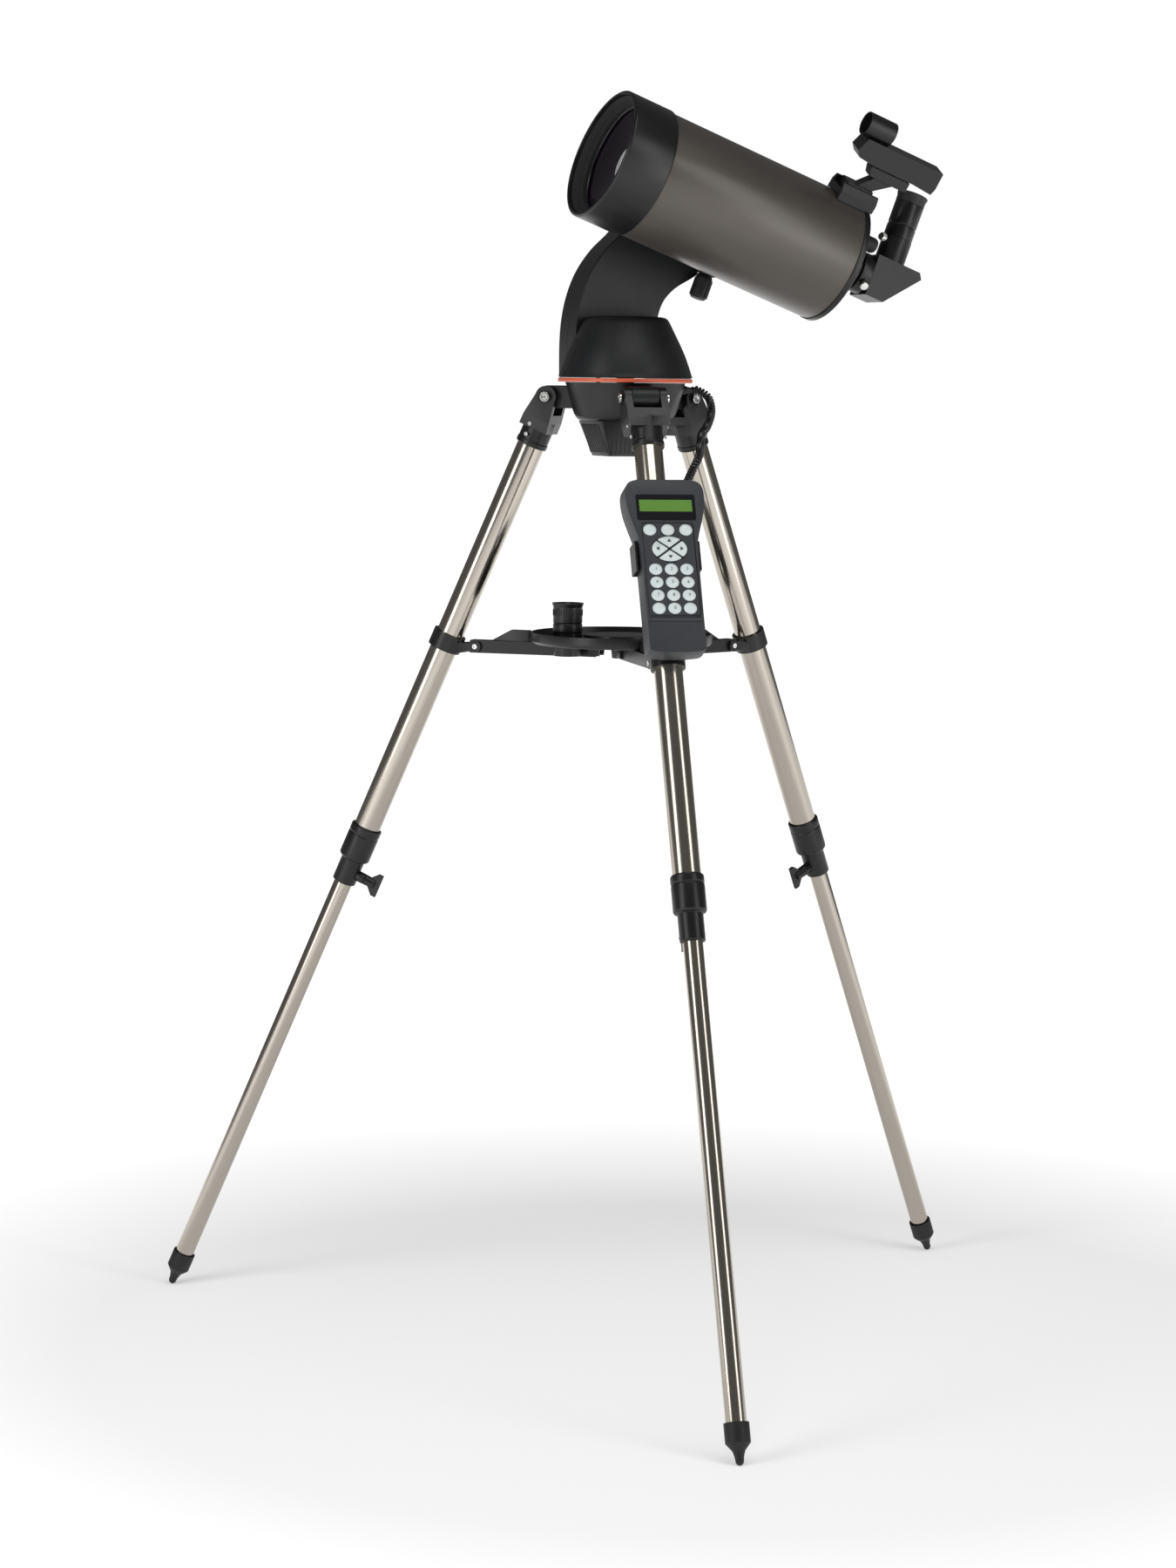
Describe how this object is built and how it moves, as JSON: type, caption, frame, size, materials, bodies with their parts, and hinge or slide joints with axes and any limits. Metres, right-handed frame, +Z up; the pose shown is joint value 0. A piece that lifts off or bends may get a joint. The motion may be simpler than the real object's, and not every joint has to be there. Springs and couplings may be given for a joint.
{
  "type": "computerised telescope on tripod",
  "caption": "Short Maksutov-Cassegrain telescope on a single-arm motorised alt-azimuth mount, with star diagonal, red-dot finder, keypad handset on a curly cord and folding steel tripod.",
  "frame": {"origin": "on the ground, below the middle of the rectangle that the three feet span", "axes": "+Z up; the tube looks towards -X and the eyepiece is at +X; +Y is the fork arm's side"},
  "size_m": [0.9702, 0.9271, 1.4277],
  "materials": {
    "barrel_paint": "metallic grey-brown paint",
    "black_metal": "satin black anodised",
    "black_plastic": "satin moulded",
    "brushed_steel": "polished stainless tube",
    "charcoal_plastic": "finely textured",
    "chrome": "polished",
    "coated_glass": "violet anti-reflection coating",
    "gear_metal": "machined",
    "key_plastic": "translucent pale keys",
    "mirror_glass": "aluminised",
    "orange_trim": "satin",
    "rubber": "matt"
  },
  "bodies": {
    "base": {"base_housing": "charcoal_plastic", "trim_ring": "orange_trim", "battery_box": "black_plastic", "azimuth_gear": "gear_metal"},
    "fork": {"base_dome": "charcoal_plastic", "arm_inner_shell": "charcoal_plastic", "arm_outer_shell": "charcoal_plastic", "azimuth_motor": "black_metal", "altitude_motor": "black_metal"},
    "tube_saddle": {"altitude_wheel": "gear_metal", "tube_clamp": "black_metal"},
    "clamp_knob": {"clamp_knob": "rubber"},
    "optical_tube": {"dovetail_bar": "black_metal", "tube_barrel": "barrel_paint", "front_cell": "black_metal", "corrector_lens": "coated_glass", "back_cell": "black_metal", "visual_back": "black_metal", "finder_shoe": "black_plastic", "finder_mount": "black_plastic"},
    "primary_mirror": {"primary_mirror": "mirror_glass"},
    "focus_knob": {"focus_knob": "rubber"},
    "back_thumb_screw": {"back_thumb_screw": "chrome"},
    "diagonal": {"diagonal_body": "black_plastic"},
    "holder_thumb_screw": {"holder_thumb_screw": "chrome"},
    "eyepiece": {"eyepiece_body": "black_metal", "eyepiece_cup": "rubber"},
    "finder": {"finder_body": "black_plastic"},
    "leg_handset": {"leg_yoke_handset": "black_plastic", "upper_tube_handset": "brushed_steel", "spreader_collar_handset": "black_plastic", "leg_clamp_handset": "black_plastic", "handset_holder": "black_plastic", "handset_case": "charcoal_plastic", "handset_cord": "rubber"},
    "lower_leg_handset": {"lower_tube_handset": "brushed_steel", "foot_handset": "rubber"},
    "wing_screw_handset": {"wing_screw_handset": "black_plastic"},
    "spreader_arm_handset": {"spreader_arm_handset": "black_plastic"},
    "leg_right": {"leg_yoke_right": "black_plastic", "upper_tube_right": "brushed_steel", "spreader_collar_right": "black_plastic", "leg_clamp_right": "black_plastic"},
    "lower_leg_right": {"lower_tube_right": "brushed_steel", "foot_right": "rubber"},
    "wing_screw_right": {"wing_screw_right": "black_plastic"},
    "spreader_arm_right": {"spreader_arm_right": "black_plastic"},
    "leg_left": {"leg_yoke_left": "black_plastic", "upper_tube_left": "brushed_steel", "spreader_collar_left": "black_plastic", "leg_clamp_left": "black_plastic"},
    "lower_leg_left": {"lower_tube_left": "brushed_steel", "foot_left": "rubber"},
    "wing_screw_left": {"wing_screw_left": "black_plastic"},
    "spreader_arm_left": {"spreader_arm_left": "black_plastic"},
    "tray_hub": {"tray_hub": "black_plastic"},
    "eyepiece_tray": {"eyepiece_tray": "black_plastic"},
    "spare_eyepiece": {"spare_eyepiece": "black_metal"},
    "keypad": {"keypad": "key_plastic"},
    "arrow_pad": {"arrow_pad": "key_plastic"}
  },
  "joints": [
    {"name": "azimuth_turn", "type": "hinge", "parent": "base", "child": "fork", "pos_m": [-0.04874, 0.09601, 1.1078], "axis": [0, 0, 1], "continuous": true},
    {"name": "altitude_tilt", "type": "hinge", "parent": "fork", "child": "tube_saddle", "pos_m": [0.04126, 0.01801, 1.2986], "axis": [0, 1, 0], "range_deg": [-30, 45]},
    {"name": "tube_balance_slide", "type": "slide", "parent": "tube_saddle", "child": "optical_tube", "axis": [-0.9356, 0, 0.353], "range_m": [-0.03, 0.03]},
    {"name": "clamp_knob_turn", "type": "hinge", "parent": "tube_saddle", "child": "clamp_knob", "pos_m": [0.074, 0.10091, 1.28624], "axis": [-0.353, 0, -0.9356], "range_deg": [0, 720]},
    {"name": "focus_knob_turn", "type": "hinge", "parent": "optical_tube", "child": "focus_knob", "pos_m": [0.18722, -0.00144, 1.27471], "axis": [-0.9356, 0, 0.353], "range_deg": [-1800, 1800]},
    {"name": "mirror_slide", "type": "slide", "parent": "optical_tube", "child": "primary_mirror", "axis": [-0.9356, 0, 0.353], "range_m": [-0.00375, 0.00375]},
    {"name": "back_thumb_screw_turn", "type": "hinge", "parent": "optical_tube", "child": "back_thumb_screw", "pos_m": [0.20855, 0.01801, 1.23548], "axis": [-0.1974, -0.829, -0.5232], "range_deg": [0, 720]},
    {"name": "diagonal_turn", "type": "hinge", "parent": "optical_tube", "child": "diagonal", "pos_m": [0.2237, 0.01801, 1.22977], "axis": [-0.9356, 0, 0.353], "range_deg": [-90, 90]},
    {"name": "holder_thumb_screw_turn", "type": "hinge", "parent": "diagonal", "child": "holder_thumb_screw", "pos_m": [0.25526, 0.01801, 1.26809], "axis": [-0.8792, -0.342, 0.3317], "range_deg": [0, 720]},
    {"name": "eyepiece_slide", "type": "slide", "parent": "diagonal", "child": "eyepiece", "axis": [0.353, 0, 0.9356], "range_m": [0, 0.03]},
    {"name": "finder_tilt", "type": "hinge", "parent": "optical_tube", "child": "finder", "pos_m": [0.21772, -0.03449, 1.34706], "axis": [0.1547, 0.8988, 0.4102], "range_deg": [-1.2, 1.2]},
    {"name": "leg_fold_handset", "type": "hinge", "parent": "base", "child": "leg_handset", "pos_m": [-0.06402, 0.00934, 1.0881], "axis": [0.9848, -0.1736, 0], "range_deg": [0, 9.5], "deforming": ["handset_cord"]},
    {"name": "spreader_arm_hinge_handset", "type": "hinge", "parent": "leg_handset", "child": "spreader_arm_handset", "pos_m": [-0.07912, -0.07624, 0.79669], "axis": [0.9848, -0.1736, 0], "range_deg": [0, 60]},
    {"name": "leg_extension_handset", "type": "slide", "parent": "leg_handset", "child": "lower_leg_handset", "axis": [0.0695, 0.3943, 0.9164], "range_m": [-0.05, 0.4]},
    {"name": "wing_screw_turn_handset", "type": "hinge", "parent": "leg_handset", "child": "wing_screw_handset", "pos_m": [-0.10692, -0.23392, 0.5227], "axis": [0.1591, 0.9024, -0.4003], "range_deg": [0, 540]},
    {"name": "leg_fold_right", "type": "hinge", "parent": "base", "child": "leg_right", "pos_m": [0.03395, 0.1261, 1.0881], "axis": [-0.342, 0.9397, 0], "range_deg": [0, 9.5]},
    {"name": "spreader_arm_hinge_right", "type": "hinge", "parent": "leg_right", "child": "spreader_arm_right", "pos_m": [0.11562, 0.15583, 0.79669], "axis": [-0.342, 0.9397, 0], "range_deg": [0, 60]},
    {"name": "leg_extension_right", "type": "slide", "parent": "leg_right", "child": "lower_leg_right", "axis": [-0.3762, -0.1369, 0.9164], "range_m": [-0.05, 0.4]},
    {"name": "wing_screw_turn_right", "type": "hinge", "parent": "leg_right", "child": "wing_screw_right", "pos_m": [0.26607, 0.21059, 0.5227], "axis": [-0.8611, -0.3134, -0.4003], "range_deg": [0, 540]},
    {"name": "leg_fold_left", "type": "hinge", "parent": "base", "child": "leg_left", "pos_m": [-0.11616, 0.15257, 1.0881], "axis": [-0.6428, -0.766, 0], "range_deg": [0, 9.5]},
    {"name": "spreader_arm_hinge_left", "type": "hinge", "parent": "leg_left", "child": "spreader_arm_left", "pos_m": [-0.18273, 0.20844, 0.79669], "axis": [-0.6428, -0.766, 0], "range_deg": [0, 60]},
    {"name": "leg_extension_left", "type": "slide", "parent": "leg_left", "child": "lower_leg_left", "axis": [0.3067, -0.2573, 0.9164], "range_m": [-0.05, 0.4]},
    {"name": "wing_screw_turn_left", "type": "hinge", "parent": "leg_left", "child": "wing_screw_left", "pos_m": [-0.30538, 0.31135, 0.5227], "axis": [0.702, -0.589, -0.4003], "range_deg": [0, 540]},
    {"name": "hub_lift", "type": "slide", "parent": "base", "child": "tray_hub", "axis": [0, 0, 1], "range_m": [0, 0.11]},
    {"name": "tray_turn", "type": "hinge", "parent": "tray_hub", "child": "eyepiece_tray", "pos_m": [-0.04874, 0.09601, 0.79669], "axis": [0, 0, 1], "range_deg": [0, 30]},
    {"name": "spare_eyepiece_lift", "type": "slide", "parent": "eyepiece_tray", "child": "spare_eyepiece", "axis": [0, 0, 1], "range_m": [0, 0.05]},
    {"name": "keypad_press", "type": "slide", "parent": "leg_handset", "child": "keypad", "axis": [0.1591, 0.9024, -0.4003], "range_m": [0, 0.0008], "stiffness_N_per_m": 400},
    {"name": "arrow_pad_press", "type": "slide", "parent": "leg_handset", "child": "arrow_pad", "axis": [0.1591, 0.9024, -0.4003], "range_m": [0, 0.0008], "stiffness_N_per_m": 400}
  ],
  "couplings": [
    {"joint": "focus_knob_turn", "follows": "mirror_slide", "rad_per_m": 8377.6},
    {"joint": "spreader_arm_hinge_handset", "follows": "leg_fold_handset", "ratio": 4.1848},
    {"joint": "leg_fold_right", "follows": "leg_fold_handset", "ratio": 1},
    {"joint": "spreader_arm_hinge_right", "follows": "leg_fold_handset", "ratio": 4.1848},
    {"joint": "leg_fold_left", "follows": "leg_fold_handset", "ratio": 1},
    {"joint": "spreader_arm_hinge_left", "follows": "leg_fold_handset", "ratio": 4.1848},
    {"joint": "hub_lift", "follows": "leg_fold_handset", "m_per_rad": 0.58603}
  ]
}
